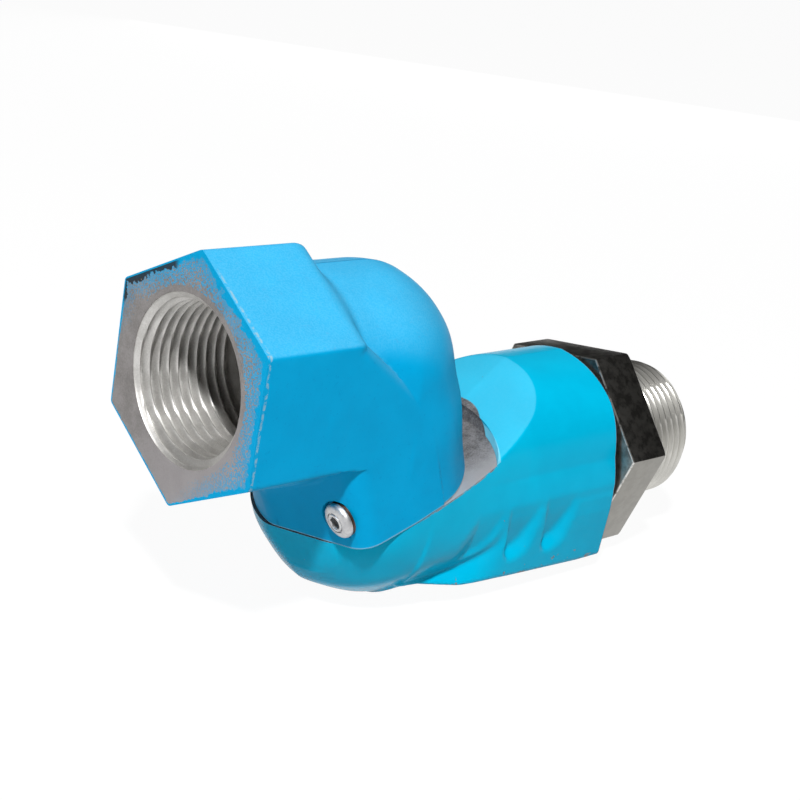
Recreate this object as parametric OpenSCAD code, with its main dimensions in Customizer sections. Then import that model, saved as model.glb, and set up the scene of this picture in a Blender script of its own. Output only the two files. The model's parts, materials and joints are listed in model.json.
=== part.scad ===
// Two-joint hose swivel: a hexagon inlet elbow turns on a tilted ball race on
// top of a middle body, and a threaded outlet adapter turns in the body's end.
// X runs along the outlet, Z points up towards the inlet side. The origin is on
// the outlet axis, at the hand-tight plane of the outlet thread.

/* [Inlet elbow] */
// Width across the flats of the inlet hexagon
inlet_hex_w = 44.4; // [43:0.1:48]
// Length of the inlet hexagon
inlet_hex_l = 25.6; // [24:0.1:28]
// Turn of the inlet hexagon about its axis
inlet_hex_turn = 3.2; // [2:0.1:4]
// Distance from the knee centre to the inlet face, along X
inlet_reach = 48.9; // [47:0.1:60]
// Height of the inlet axis over the outlet axis
axis_offset = 28.7; // [27:0.1:34]
// Radius at the crests of the inlet thread
inlet_thread_r = 15.2; // [14:0.05:16]
// Length of the inlet thread
inlet_thread_l = 22; // [16:0.5:22]
// Radius of the countersink at the inlet mouth
inlet_mouth_r = 16.7; // [16.2:0.05:17.5]
// Radius of the elbow's round knuckle
knuckle_r = 23.6; // [22.8:0.1:26]
// Radius of the elbow's dome
dome_r = 23; // [22.4:0.1:25]
// Height of the dome's centre over the knee centre, along the joint axis
dome_h = 28.1; // [26:0.1:30]
// Height of the flat cheek's lower end over the knee centre, along the joint axis
cheek_h = 27; // [25:0.1:27.5]
// Distance of the plug boss's flat face from the joint axis
boss_reach = 21.6; // [21:0.1:23]
// Turn of the plug boss's flat face about the joint axis
boss_turn = 13.9; // [8:0.1:18]
// Corner radius of the plug boss
boss_corner_r = 4.4; // [2:0.1:5]

/* [Swivel body] */
// Tilt of the inlet joint's axis from upright
joint_tilt = 20; // [18:0.5:22]
// Height of the joint face over the knee centre
joint_h = 1.5; // [0.5:0.1:3]
// Radius of the body's round knee
knee_r = 23.2; // [22.4:0.1:26]
// Radius of the body's outlet tube
tube_r = 23.5; // [22.8:0.1:26]
// Width between the flat sides of both castings
side_w = 44.4; // [43.6:0.1:46]
// Distance from the knee centre to the body's outlet end
body_reach = 59.1; // [58:0.1:70]
// Radius of the machined face under the elbow
spot_r = 29.3; // [28.5:0.1:31]
// Depth of the machined face's shoulder
spot_depth = 1.3; // [0.8:0.1:2]
// Rise of the relief round the machined face, in degrees
relief_rise = 22; // [18:1:24]
// Depth of the body's flat underside below the outlet axis
skirt_depth = 18.7; // [17.5:0.1:20]
// Width of the flat underside at the outlet end
skirt_w = 44; // [42:0.1:44.4]
// Distance over which the underside widens from the knee
skirt_taper = 38; // [30:1:45]
// Height of the skirt's edge below the pockets
skirt_t = 3.7; // [3:0.1:5]
// Number of tapered pockets on each side
pocket_count = 3; // [1:1:3]
// Distance between the pockets
pocket_pitch = 11.8; // [11:0.1:12.5]
// Distance from the outlet end to the nearest pocket's tip
pocket_margin = 13.8; // [12:0.1:16]
// Depth of a pocket's tip below the outlet axis
pocket_top = 3; // [2:0.1:5]
// Radius of a pocket's blunt tip
pocket_tip_r = 0.5; // [0.3:0.1:0.8]
// Half of a pocket's opening angle
pocket_angle = 28; // [20:1:30]
// Lean of a pocket's axis
pocket_lean = 14; // [6:1:16]

/* [Ball joints] */
// Ball diameter
ball_d = 3.175; // [2.9:0.005:3.2]
// Radius of the circle of ball centres
race_r = 16.4; // [16.1:0.05:16.7]
// Distance of the balls from the joint face
race_h = 6.9; // [6.6:0.1:7.2]
// Clearance round each ball
ball_gap = 0.03; // [0.02:0.01:0.05]
// Radial clearance of the turning fits
turn_gap = 0.04; // [0.02:0.01:0.08]
// Height of the gap between the turning castings
face_gap = 0.4; // [0.3:0.05:0.8]
// Bore of the steel stem
stem_bore_r = 11.5; // [10.5:0.1:12]
// Length of stem or spigot past the joint face
stem_l = 17.2; // [16.8:0.1:17.6]
// Radius of the stem's thread
stem_thread_r = 14.5; // [14:0.1:15]
// Depth of the stem below the joint face
stem_depth = 6.5; // [5:0.1:7]
// Radius of the stem's flange
stem_flange_r = 18; // [17.5:0.1:18.5]
// Thickness of the stem's flange
stem_flange_t = 1.6; // [1.2:0.1:2]

/* [Seals and rings] */
// Thickness of the main seal's cross section
seal_d = 2.2; // [2:0.05:2.3]
// Width of the backup ring
backup_w = 0.9; // [0.7:0.05:1]
// Width of the guide ring
guide_w = 2; // [1.6:0.1:2.2]
// Depth of the guide ring's groove
guide_t = 1; // [0.8:0.05:1.2]
// Radial width of the dust seal
dust_w = 2; // [1.6:0.1:2.2]
// Height of the inlet dust seal
dust_h = 2; // [1.6:0.1:2.4]
// Thickness of the thrust washers
thrust_t = 1; // [0.8:0.05:1.1]
// Thickness of the static seal's cross section
static_d = 1.3; // [1.1:0.05:1.4]

/* [Ball plugs] */
// Distance of a plug's seat from the ball circle
plug_seat = 17.6; // [17:0.1:17.8]
// Radius of the plug's thread
plug_r = 2; // [1.9:0.05:2.1]
// Length of the plug's thread
plug_l = 6; // [5.6:0.1:6.4]
// Radius of the plug's head
plug_head_r = 3.8; // [3.5:0.1:4]
// Height of the plug's head
plug_head_h = 2.2; // [2:0.1:2.4]
// Width of the plug's hexagon socket
plug_key_w = 2.5; // [2:0.1:3]
// Thickness of the plug's washer
plug_washer_t = 0.5; // [0.4:0.1:0.8]

/* [Outlet adapter] */
// Width across the flats of the outlet hexagon
outlet_hex_w = 44; // [42:0.1:46]
// Length of the outlet hexagon
outlet_hex_l = 12.2; // [10:0.1:15]
// Turn of the outlet hexagon about its axis
outlet_hex_turn = 21.1; // [0:0.1:59]
// Gap between the body and the outlet hexagon
outlet_gap = 1.5; // [1:0.1:2]
// Radius at the crests of the outlet thread
outlet_thread_r = 16.7; // [16:0.05:18]
// Length of the outlet thread
outlet_thread_l = 20.5; // [16:0.1:26]
// Bore of the outlet adapter
outlet_bore_r = 12.5; // [11:0.1:12.6]
// Distance from the outlet's end to its hand-tight plane
hand_tight = 10.2; // [8:0.1:12]

/* [Passage in the body] */
// Radius of the passage from the knee to the outlet
passage_r = 9.5; // [8:0.1:9.6]
// Radius of the chamber in the knee
chamber_r = 12.5; // [12:0.1:13]
// Depth of the chamber's centre below the knee centre
chamber_depth = 6.5; // [6:0.1:7]
// Distance of the passage's start past the knee centre
passage_x = 4; // [3:0.1:5]
// Depth of the passage's start below the outlet axis
passage_depth = 10; // [9.5:0.1:10]
// Depth of the passage's end below the outlet axis
passage_end_depth = 1.5; // [1:0.1:2]

/* [Hidden] */
$fn = 96;

// Extra length of a cut past the face that it leaves
past = 1;
// Small clearance of parts that don't turn against each other
set_gap = 0.02;
// Side clearance of the rings in their grooves
ring_gap = 0.05;
// Free width of the seal groove beside its two rings
seal_play = 0.3;
// Metal left between neighbouring grooves
land = 0.8;
// Clearance round the dust seals
dust_gap = 0.15;
// Axial play of the thrust washers
thrust_play = 0.3;
// Squeeze of the static seal
static_squeeze = 0.1;
// Clearance of the loading hole round a ball
pin_gap = 0.07;
// Free length of thread past a plug's tip
plug_room = 0.2;
// Room round a plug's head
head_room = 0.5;
// Chamfer of the outlet adapter's corners
chamfer = 1.2;

// Places along the outlet axis, from the knee centre
outlet_hex_x = body_reach + outlet_gap;
outlet_thread_x = outlet_hex_x + outlet_hex_l;
outlet_end_x = outlet_thread_x + outlet_thread_l;
origin_x = outlet_end_x - hand_tight;

// Radii of the ball joints
ball_r = ball_d / 2;
groove_r = ball_r + ball_gap;
bore_r = race_r + turn_gap / 2;
spigot_r = race_r - turn_gap / 2;
race_bore_l = stem_l + thrust_t + thrust_play;
ball_count = floor(360 / (2 * asin((ball_r + ball_gap) / race_r)));

// Places along a joint, from its face
guide_h = race_h + ball_r + land;
seal_groove_h = guide_h + guide_w + land;
seal_groove_w = seal_d + backup_w + seal_play;
seal_floor_r = bore_r - seal_d;
dust_r = bore_r + dust_gap;
dust_bore_r = dust_r + dust_w + dust_gap;
dust_bore_h = dust_h + dust_gap;

// Joint seats of the steel stem
flange_floor_h = -stem_flange_t - set_gap;
static_groove_h = static_d - static_squeeze;
static_r = (stem_thread_r + stem_flange_r) / 2 + static_squeeze;

// Places on the elbow
elbow_h = joint_h + face_gap;
crossing_h = axis_offset / cos(joint_tilt);
crossing_x = -axis_offset * tan(joint_tilt);
hex_end_x = -inlet_reach + inlet_hex_l;
hex_edge_h = inlet_hex_w / sqrt(3) / 2;
knuckle_flat = sqrt(pow(knuckle_r, 2) - pow(side_w / 2, 2));
boss_corner_x = -(boss_reach - sin(boss_turn) * side_w / 2) / cos(boss_turn);
fillet_y = boss_corner_r - side_w / 2;
fillet_x = (boss_corner_r - boss_reach - fillet_y * sin(boss_turn)) / cos(boss_turn);

// Ends of the passage through the body, as places along X and Z
passage_low = [passage_x, -passage_depth];
passage_high = [body_reach - race_bore_l + past, -passage_end_depth];

// Outer end of a loading pin, just short of its plug's tip
plug_tip = plug_seat + plug_washer_t - plug_l;
pin_end = plug_tip - plug_room;

// Length of a side pocket along its axis
pocket_l = (skirt_depth - skirt_t - pocket_top) / cos(pocket_lean);

// Puts the knee centre's frame into the part's frame
module at_knee() translate([-origin_x, 0, 0]) children();

// Frame of the inlet joint: Z along the joint axis, origin at the knee centre
module at_inlet_joint() at_knee() rotate([0, -joint_tilt, 0]) children();

// The same frame, with its origin on the joint face
module at_inlet_face() at_inlet_joint() translate([0, 0, joint_h]) children();

// Frame of the outlet joint: Z runs from the body's end face into the body
module at_outlet_face() at_knee() translate([body_reach, 0, 0]) rotate([0, -90, 0]) children();

// A ring with a rectangular section
module ring(outer_r, inner_r, low, high) {
    translate([0, 0, low]) difference() {
        cylinder(r = outer_r, h = high - low);
        translate([0, 0, -past]) cylinder(r = inner_r, h = high - low + 2 * past);
    }
}

// A ring with a round section
module round_ring(middle_r, section_r, height) {
    translate([0, 0, height]) rotate_extrude() translate([middle_r, 0]) circle(r = section_r, $fn = 48);
}

// A hexagonal bar along X, with a corner at the given angle from upright
module hex_bar(width, from_x, to_x, turn = 0) {
    translate([from_x, 0, 0]) rotate([0, 90, 0]) rotate([0, 0, turn])
        cylinder(r = width / sqrt(3), h = to_x - from_x, $fn = 6);
}

// The room of one ball race in the outer part: bore, groove, seal and washer seats
module race_bore() {
    translate([0, 0, -past]) cylinder(r = bore_r, h = race_bore_l + past);
    round_ring(race_r, groove_r, race_h);
    translate([0, 0, -past]) cylinder(r = dust_bore_r, h = dust_bore_h + past);
}

// The grooves of one ball race in the inner part
module race_grooves() {
    round_ring(race_r, groove_r, race_h);
    ring(race_r + past, spigot_r - guide_t, guide_h, guide_h + guide_w);
    ring(race_r + past, seal_floor_r, seal_groove_h, seal_groove_h + seal_groove_w);
}

// Frame of a ball plug: Z runs outward along the hole from the ball circle
module at_plug_hole() translate([0, -race_r, race_h]) rotate([0, -90, 0]) children();

// The loading hole of a ball race: pin hole, thread and head seat
module plug_hole() {
    cylinder(r = ball_r + pin_gap, h = plug_seat, $fn = 48);
    translate([0, 0, pin_end]) cylinder(r = plug_r + set_gap, h = plug_l, $fn = 48);
    translate([0, 0, plug_seat]) cylinder(r = plug_head_r + head_room, h = plug_l, $fn = 64);
}

module ball_train() {
    for (i = [0 : ball_count - 1])
        rotate([0, 0, (i + 0.5) * 360 / ball_count])
            translate([race_r, 0, race_h]) sphere(r = ball_r, $fn = 48);
}

module main_seal() {
    round_ring(bore_r - seal_d / 2, seal_d / 2 - set_gap, seal_groove_h + seal_groove_w - ring_gap - seal_d / 2);
}

module backup_ring() {
    ring(bore_r - turn_gap, seal_floor_r + set_gap, seal_groove_h + ring_gap, seal_groove_h + ring_gap + backup_w);
}

module guide_ring() {
    ring(bore_r - turn_gap / 2, spigot_r - guide_t + set_gap, guide_h + ring_gap, guide_h + guide_w - ring_gap);
}

module thrust_washer() {
    ring(spigot_r, outlet_bore_r + thrust_play, race_bore_l - thrust_t - ring_gap, race_bore_l - ring_gap);
}

// Closes the loading hole; its inner end follows the balls' groove
module loading_pin() {
    pin_start = ball_d + ball_r;
    difference() {
        at_plug_hole() translate([0, 0, pin_start])
            cylinder(r = ball_r + pin_gap / 2, h = pin_end - pin_start, $fn = 48);
        round_ring(race_r, groove_r + set_gap, race_h);
        cylinder(r = bore_r + set_gap, h = 2 * race_h);
    }
}

module plug_washer() {
    at_plug_hole() ring(plug_head_r, plug_r + turn_gap, plug_seat, plug_seat + plug_washer_t);
}

// Button-head screw with a hexagon socket
module ball_plug() {
    head_z = plug_seat + plug_washer_t;
    crown_r = 2 * plug_head_r;
    crown_drop = crown_r - sqrt(pow(crown_r, 2) - pow(plug_head_r, 2));
    at_plug_hole() difference() {
        union() {
            translate([0, 0, plug_tip]) cylinder(r = plug_r, h = plug_l + plug_head_h / 2, $fn = 48);
            intersection() {
                translate([0, 0, head_z]) cylinder(r = plug_head_r, h = plug_head_h, $fn = 64);
                translate([0, 0, head_z + plug_head_h - crown_r]) sphere(r = crown_r);
            }
        }
        translate([0, 0, head_z + plug_head_h - plug_key_w / 2])
            cylinder(r = plug_key_w / sqrt(3), h = plug_key_w, $fn = 6);
        translate([0, 0, head_z + plug_head_h - crown_drop / 2]) cylinder(r = 0.6 * plug_key_w, h = crown_drop);
    }
}

// Outline of the elbow's knuckle round the joint axis, with the plug boss
module knuckle_outline() {
    intersection() {
        union() {
            circle(r = knuckle_r);
            translate([fillet_x, fillet_y]) circle(r = boss_corner_r);
            polygon([
                [fillet_x, -side_w / 2], [0, -side_w / 2], [0, 0], [-boss_reach, 0],
                [fillet_x - boss_corner_r * cos(boss_turn), fillet_y - boss_corner_r * sin(boss_turn)]
            ]);
        }
        rotate(boss_turn) translate([-boss_reach, -2 * knuckle_r])
            square([4 * knuckle_r, 4 * knuckle_r]);
        translate([-2 * knuckle_r, -side_w / 2]) square([4 * knuckle_r, side_w]);
    }
}

// Flat cheek that runs from the inlet hexagon down to the knuckle, seen from the side
module cheek_outline() {
    top_x = hex_end_x * cos(joint_tilt) + (axis_offset + hex_edge_h) * sin(joint_tilt);
    top_h = -hex_end_x * sin(joint_tilt) + (axis_offset + hex_edge_h) * cos(joint_tilt);
    front_h = -hex_end_x * sin(joint_tilt) + (axis_offset - hex_edge_h) * cos(joint_tilt) + past;
    polygon([
        [top_x, top_h], [knuckle_flat / 2, cheek_h], [knuckle_flat / 2, dome_h / 2],
        [fillet_x + past, dome_h / 2], [fillet_x + past, front_h - past], [boss_corner_x, front_h]
    ]);
}

// Outer shape of the elbow
module elbow_shape() {
    at_knee() translate([0, 0, axis_offset]) hex_bar(inlet_hex_w, -inlet_reach, hex_end_x, inlet_hex_turn);
    at_inlet_joint() {
        translate([0, 0, elbow_h]) linear_extrude(dome_h - elbow_h) knuckle_outline();
        rotate([90, 0, 0]) translate([0, 0, -side_w / 2]) linear_extrude(side_w) cheek_outline();
        intersection() {
            translate([0, 0, dome_h]) sphere(r = dome_r);
            translate([-2 * dome_r, -side_w / 2, 0]) cube([4 * dome_r, side_w, 4 * dome_r]);
        }
    }
}

module inlet_elbow() {
    countersink_l = inlet_mouth_r - inlet_thread_r;
    color("deepskyblue") difference() {
        elbow_shape();
        at_knee() translate([-inlet_reach, 0, axis_offset]) rotate([0, 90, 0]) {
            translate([0, 0, -past]) cylinder(r = inlet_thread_r, h = inlet_thread_l + past);
            cylinder(r = stem_bore_r, h = inlet_reach + crossing_x);
            cylinder(r1 = inlet_mouth_r, r2 = inlet_thread_r, h = countersink_l);
        }
        at_inlet_joint() {
            translate([0, 0, crossing_h]) sphere(r = stem_bore_r);
            translate([0, 0, elbow_h]) cylinder(r = stem_bore_r, h = crossing_h - elbow_h);
        }
        at_inlet_face() {
            race_bore();
            at_plug_hole() plug_hole();
        }
    }
}

// Tapered pocket in the body's side, as a cone with its blunt tip at the origin
module side_pocket() {
    rotate([0, pocket_lean, 0]) translate([0, 0, -pocket_l])
        cylinder(r1 = pocket_l * tan(pocket_angle), r2 = pocket_tip_r, h = pocket_l);
}

// Outer shape of the body, before the joint face is cut
module body_shape() {
    at_knee() intersection() {
        union() {
            rotate([0, -joint_tilt, 0]) rotate_extrude() knee_section();
            rotate([0, 90, 0]) cylinder(r = tube_r, h = body_reach);
            skirt();
        }
        translate([-2 * knee_r, -side_w / 2, -2 * knee_r]) cube([body_reach + 2 * knee_r, side_w, 4 * knee_r]);
    }
}

// Half section of the round knee: a ball with a short collar up to the joint face
module knee_section() {
    intersection() {
        union() {
            circle(r = knee_r);
            square([knee_r, joint_h]);
        }
        translate([0, -knee_r]) square([knee_r, knee_r + joint_h]);
    }
}

// Flat underside that widens from the knee to the outlet end
module skirt() {
    knee_w = sqrt(pow(knee_r, 2) - pow(skirt_depth, 2));
    middle_w = skirt_w / 2 - (skirt_w / 2 - knee_w) / 3;
    edge = [[0, knee_w], [skirt_taper / 2, middle_w], [skirt_taper, skirt_w / 2], [body_reach, skirt_w / 2]];
    translate([0, 0, -skirt_depth]) linear_extrude(skirt_depth) {
        polygon(concat(edge, [[body_reach, 0], [0, 0]]));
        mirror([0, 1]) polygon(concat(edge, [[body_reach, 0], [0, 0]]));
    }
}

// Room that the elbow sweeps over the body: machined face and relief round it
module joint_relief() {
    reach = body_reach;
    translate([0, 0, joint_h]) cylinder(r = spot_r, h = 2 * knee_r);
    translate([0, 0, joint_h + spot_depth])
        cylinder(r1 = spot_r, r2 = spot_r + reach, h = reach * tan(relief_rise));
    translate([-2 * reach, -2 * reach, joint_h]) cube([2 * reach, 4 * reach, 2 * reach]);
}

module swivel_body() {
    passage_run = passage_high - passage_low;
    color("cyan") difference() {
        body_shape();
        at_inlet_joint() {
            joint_relief();
            translate([0, 0, -chamber_depth]) sphere(r = chamber_r);
        }
        at_inlet_face() {
            translate([0, 0, flange_floor_h]) cylinder(r = stem_flange_r + set_gap, h = stem_flange_t + past);
            ring(static_r + static_d / 2, static_r - static_d / 2, flange_floor_h - static_groove_h, 0);
            translate([0, 0, -stem_depth - set_gap]) cylinder(r = stem_thread_r + set_gap, h = stem_depth + past);
        }
        at_knee() {
            translate([passage_low[0], 0, passage_low[1]])
                rotate([0, 90 - atan2(passage_run[1], passage_run[0]), 0])
                    cylinder(r = passage_r, h = norm(passage_run));
            translate([passage_low[0], 0, passage_low[1]]) sphere(r = passage_r);
            for (side = [-1, 1], i = [0 : pocket_count - 1])
                translate([body_reach - pocket_margin - i * pocket_pitch, side * side_w / 2, -pocket_top])
                    side_pocket();
        }
        at_outlet_face() race_bore();
        at_outlet_plug() at_plug_hole() plug_hole();
    }
}

module outlet_adapter() {
    hex_r = outlet_hex_w / sqrt(3);
    color("silver") at_knee() difference() {
        union() {
            translate([outlet_hex_x, 0, 0]) intersection() {
                hex_bar(outlet_hex_w, 0, outlet_hex_l, outlet_hex_turn);
                rotate([0, 90, 0]) cylinder(r1 = hex_r + 2 * outlet_hex_l - chamfer, r2 = hex_r - chamfer,
                    h = outlet_hex_l);
            }
            translate([outlet_hex_x, 0, 0]) rotate([0, 90, 0])
                cylinder(r = outlet_thread_r, h = outlet_hex_l + outlet_thread_l - chamfer);
            translate([outlet_end_x - chamfer, 0, 0]) rotate([0, 90, 0])
                cylinder(r1 = outlet_thread_r, r2 = outlet_thread_r - chamfer, h = chamfer);
            translate([body_reach - stem_l, 0, 0]) rotate([0, 90, 0])
                cylinder(r = spigot_r, h = stem_l + outlet_gap + past);
        }
        translate([body_reach - stem_l - past, 0, 0]) rotate([0, 90, 0])
            cylinder(r = outlet_bore_r, h = outlet_end_x - body_reach + stem_l + 2 * past);
        translate([body_reach, 0, 0]) rotate([0, -90, 0]) race_grooves();
    }
}

module swivel_stem() {
    color("silver") at_inlet_face() difference() {
        union() {
            cylinder(r = spigot_r, h = stem_l);
            translate([0, 0, -stem_flange_t]) cylinder(r = stem_flange_r, h = stem_flange_t);
            translate([0, 0, -stem_depth]) cylinder(r = stem_thread_r, h = stem_depth);
        }
        translate([0, 0, -stem_depth - past]) cylinder(r = stem_bore_r, h = stem_depth + stem_l + 2 * past);
        race_grooves();
    }
}

module stem_static_seal() {
    color("black") at_inlet_face()
        round_ring(static_r, static_groove_h / 2 - set_gap, flange_floor_h - static_groove_h / 2 + set_gap / 2);
}

module inlet_balls() color("lightgray") at_inlet_face() ball_train();

module inlet_main_seal() color("black") at_inlet_face() main_seal();

module inlet_backup_ring() color("ivory") at_inlet_face() backup_ring();

module inlet_guide_ring() color("ivory") at_inlet_face() guide_ring();

module inlet_dust_seal() {
    color("black") at_inlet_face() ring(dust_r + dust_w, dust_r, 0, dust_h);
}

module inlet_thrust_washer() color("ivory") at_inlet_face() thrust_washer();

module inlet_loading_pin() color("gray") at_inlet_face() loading_pin();

module inlet_ball_plug() color("silver") at_inlet_face() ball_plug();

module inlet_plug_washer() color("peru") at_inlet_face() plug_washer();

// The outlet's plug lies on the far side, with its head in the underside
module at_outlet_plug() at_outlet_face() mirror([0, 1, 0]) children();

module outlet_balls() color("lightgray") at_outlet_face() ball_train();

module outlet_main_seal() color("black") at_outlet_face() main_seal();

module outlet_backup_ring() color("ivory") at_outlet_face() backup_ring();

module outlet_guide_ring() color("ivory") at_outlet_face() guide_ring();

module outlet_dust_seal() {
    color("black") at_outlet_face() ring(dust_r + dust_w, dust_r, -outlet_gap, dust_h - dust_gap);
}

module outlet_thrust_washer() color("ivory") at_outlet_face() thrust_washer();

module outlet_loading_pin() color("gray") at_outlet_plug() loading_pin();

module outlet_ball_plug() color("silver") at_outlet_plug() ball_plug();

module outlet_plug_washer() color("peru") at_outlet_plug() plug_washer();

inlet_elbow();
swivel_body();
outlet_adapter();
swivel_stem();
stem_static_seal();
inlet_balls();
inlet_main_seal();
inlet_backup_ring();
inlet_guide_ring();
inlet_dust_seal();
inlet_thrust_washer();
inlet_loading_pin();
inlet_ball_plug();
inlet_plug_washer();
outlet_balls();
outlet_main_seal();
outlet_backup_ring();
outlet_guide_ring();
outlet_dust_seal();
outlet_thrust_washer();
outlet_loading_pin();
outlet_ball_plug();
outlet_plug_washer();
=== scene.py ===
import json
import math

import bpy
import numpy as np
from mathutils import Matrix, Vector


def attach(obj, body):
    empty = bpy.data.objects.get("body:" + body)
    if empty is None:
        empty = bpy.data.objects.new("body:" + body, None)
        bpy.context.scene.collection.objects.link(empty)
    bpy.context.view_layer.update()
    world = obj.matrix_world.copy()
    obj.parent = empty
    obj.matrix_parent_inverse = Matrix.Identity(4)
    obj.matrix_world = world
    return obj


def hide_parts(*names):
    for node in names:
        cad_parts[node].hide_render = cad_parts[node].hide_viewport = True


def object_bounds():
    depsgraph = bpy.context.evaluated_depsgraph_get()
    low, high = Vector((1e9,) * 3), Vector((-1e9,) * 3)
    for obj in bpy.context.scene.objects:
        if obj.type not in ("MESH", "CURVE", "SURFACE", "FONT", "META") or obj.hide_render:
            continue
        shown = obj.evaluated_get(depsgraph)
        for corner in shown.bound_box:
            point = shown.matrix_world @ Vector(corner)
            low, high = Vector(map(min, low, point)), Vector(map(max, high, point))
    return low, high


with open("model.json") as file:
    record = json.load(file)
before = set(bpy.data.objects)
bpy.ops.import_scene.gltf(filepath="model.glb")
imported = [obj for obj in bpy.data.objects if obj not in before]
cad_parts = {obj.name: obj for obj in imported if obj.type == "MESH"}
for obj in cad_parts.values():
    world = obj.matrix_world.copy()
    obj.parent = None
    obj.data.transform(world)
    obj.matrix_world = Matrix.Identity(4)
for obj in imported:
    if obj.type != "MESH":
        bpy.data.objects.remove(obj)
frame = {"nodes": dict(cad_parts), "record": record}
CAD_LOW, CAD_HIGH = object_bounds()

# Shapes are worked out in millimetres from the knee centre and stored in metres in the part's frame.
MM = 0.001
KNEE = np.array([-83.1, 0.0, 0.0])
CELL = 0.45

# The inlet joint's axis leans back, and its face stands off the knee centre along it.
TILT = math.radians(20.0)
CT, ST = math.cos(TILT), math.sin(TILT)
JOINT_H = 1.5
FACE_GAP = 0.4
GAP_SEEN = 0.2

# The castings
SIDE = 22.2
AXIS_H = 28.7
INLET_X = -48.9
HEX_END_X = -23.3
HEX_TURN = math.radians(3.2)
HEX_FLAT = 22.45
BODY_END = 59.1
FLOW_R = 11.5
BOSS_TURN = math.radians(13.9)
ELBOW_BOSS = 21.6
KNEE_BOSS = 21.75
ELBOW_SEAM = 0.45
SPOT_R = 29.3
POCKET_TOP = 3.2

# Cutters reach this far past what they cut
OUTSIDE = 60

# The ball races: heights run into the part from a joint's face
BALL_R = 1.5875
GROOVE_R = BALL_R + 0.03
RACE_R, RACE_H = 16.4, 6.9
BORE_R, BORE_END = 16.42, 18.5
SEAL_R, SEAL_END = 18.72, 2.15

# The loading hole and its screw, measured out from the ball circle
LOADING_R, LOADING_END = 1.6575, 11.9
SCREW_HOLE_R = 2.02
WASHER_SEAT, HEAD_SEAT = 17.6, 18.1
HEAD_ROOM_R = 4.3
SOCKET_FLAT = 1.25

# The pipe threads
PITCH = 25.4 / 11.5
THREAD_TAPER = 1 / 32

# The adapter
ADAPTER_X = BODY_END + 1.5
ADAPTER_HEX = 12.2
ADAPTER_THREAD = 20.5
ADAPTER_TURN = math.radians(21.1)
ADAPTER_R = 44 / math.sqrt(3)


# Mesh helpers

def new_object(name, verts, faces):
    """A mesh object from points in millimetres from the knee centre."""
    mesh = bpy.data.meshes.new(name)
    points = (np.asarray(verts, float) + KNEE) * MM
    mesh.from_pydata(points.tolist(), [], faces)
    mesh.update()
    obj = bpy.data.objects.new(name, mesh)
    bpy.context.scene.collection.objects.link(obj)
    return obj


def smooth(obj, angle):
    """Smooth shading with edges over this many degrees left sharp."""
    mesh = obj.data
    mesh.polygons.foreach_set("use_smooth", np.ones(len(mesh.polygons), bool))
    mesh.set_sharp_from_angle(angle=math.radians(angle))
    mesh.update()


def apply_modifiers(obj):
    bpy.context.view_layer.update()
    graph = bpy.context.evaluated_depsgraph_get()
    mesh = bpy.data.meshes.new_from_object(obj.evaluated_get(graph))
    old = obj.data
    obj.modifiers.clear()
    obj.data = mesh
    bpy.data.meshes.remove(old)


def boolean(obj, tool, operation="DIFFERENCE"):
    """Applies one boolean and removes the tool."""
    mod = obj.modifiers.new("cut", "BOOLEAN")
    mod.object = tool
    mod.operation = operation
    mod.solver = "MANIFOLD"
    apply_modifiers(obj)
    tool_mesh = tool.data
    bpy.data.objects.remove(tool)
    bpy.data.meshes.remove(tool_mesh)


def frame_matrix(origin, x_axis, y_axis, z_axis):
    m = np.eye(4)
    m[:3, 0], m[:3, 1], m[:3, 2], m[:3, 3] = x_axis, y_axis, z_axis, origin
    return m


JOINT_X = np.array([CT, 0, ST])
JOINT_Z = np.array([-ST, 0, CT])
AT_JOINT = frame_matrix([0, 0, 0], JOINT_X, [0, 1, 0], JOINT_Z)
AT_INLET_FACE = frame_matrix(JOINT_H * JOINT_Z, JOINT_X, [0, 1, 0], JOINT_Z)
AT_OUTLET_FACE = frame_matrix([BODY_END, 0, 0], [0, 0, 1], [0, 1, 0], [-1, 0, 0])
AT_INLET_AXIS = frame_matrix([INLET_X, 0, AXIS_H], [0, 0, -1], [0, 1, 0], [1, 0, 0])
AT_OUTLET_AXIS = frame_matrix([0, 0, 0], [0, 0, -1], [0, 1, 0], [1, 0, 0])


def plug_frame(face, mirror):
    """Starts on the ball circle, with its Z out through the loading hole."""
    return face @ frame_matrix([0, -RACE_R * mirror, RACE_H], [0, 0, 1], [0, 1, 0], [-1, 0, 0])


def put(points, matrix):
    return np.asarray(points, float) @ matrix[:3, :3].T + matrix[:3, 3]


def circle(segments):
    return np.arange(segments) * 2 * math.pi / segments


def arc(radius, centre_h, start, stop, points):
    """Points (radius, height) on a circle about the local Z axis at centre_h."""
    return [(radius * math.cos(a), centre_h + radius * math.sin(a)) for a in np.linspace(start, stop, points)]


def stacked_rings(name, radius, height, poles, matrix):
    """A closed solid about the local Z. radius and height hold one row per ring, and poles the heights of
    the two points that close it."""
    rows, segments = radius.shape
    turns = circle(segments)
    rings = np.stack([radius * np.cos(turns), radius * np.sin(turns), height], -1).reshape(-1, 3)
    verts = np.vstack([[[0, 0, poles[0]]], rings, [[0, 0, poles[1]]]])
    faces = []
    for k in range(segments):
        n = (k + 1) % segments
        faces.append((0, 1 + n, 1 + k))
        for r in range(rows - 1):
            a, b = 1 + r * segments, 1 + (r + 1) * segments
            faces.append((a + k, a + n, b + n, b + k))
        last = 1 + (rows - 1) * segments
        faces.append((last + k, last + n, len(verts) - 1))
    return new_object(name, put(verts, matrix), faces)


def lathe(name, profile, matrix, segments=160):
    """A closed solid of revolution: profile is (radius, height) from pole to pole."""
    rows = np.array(profile[1:-1], float)
    radius = np.repeat(rows[:, :1], segments, axis=1)
    height = np.repeat(rows[:, 1:], segments, axis=1)
    return stacked_rings(name, radius, height, (profile[0][1], profile[-1][1]), matrix)


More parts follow.
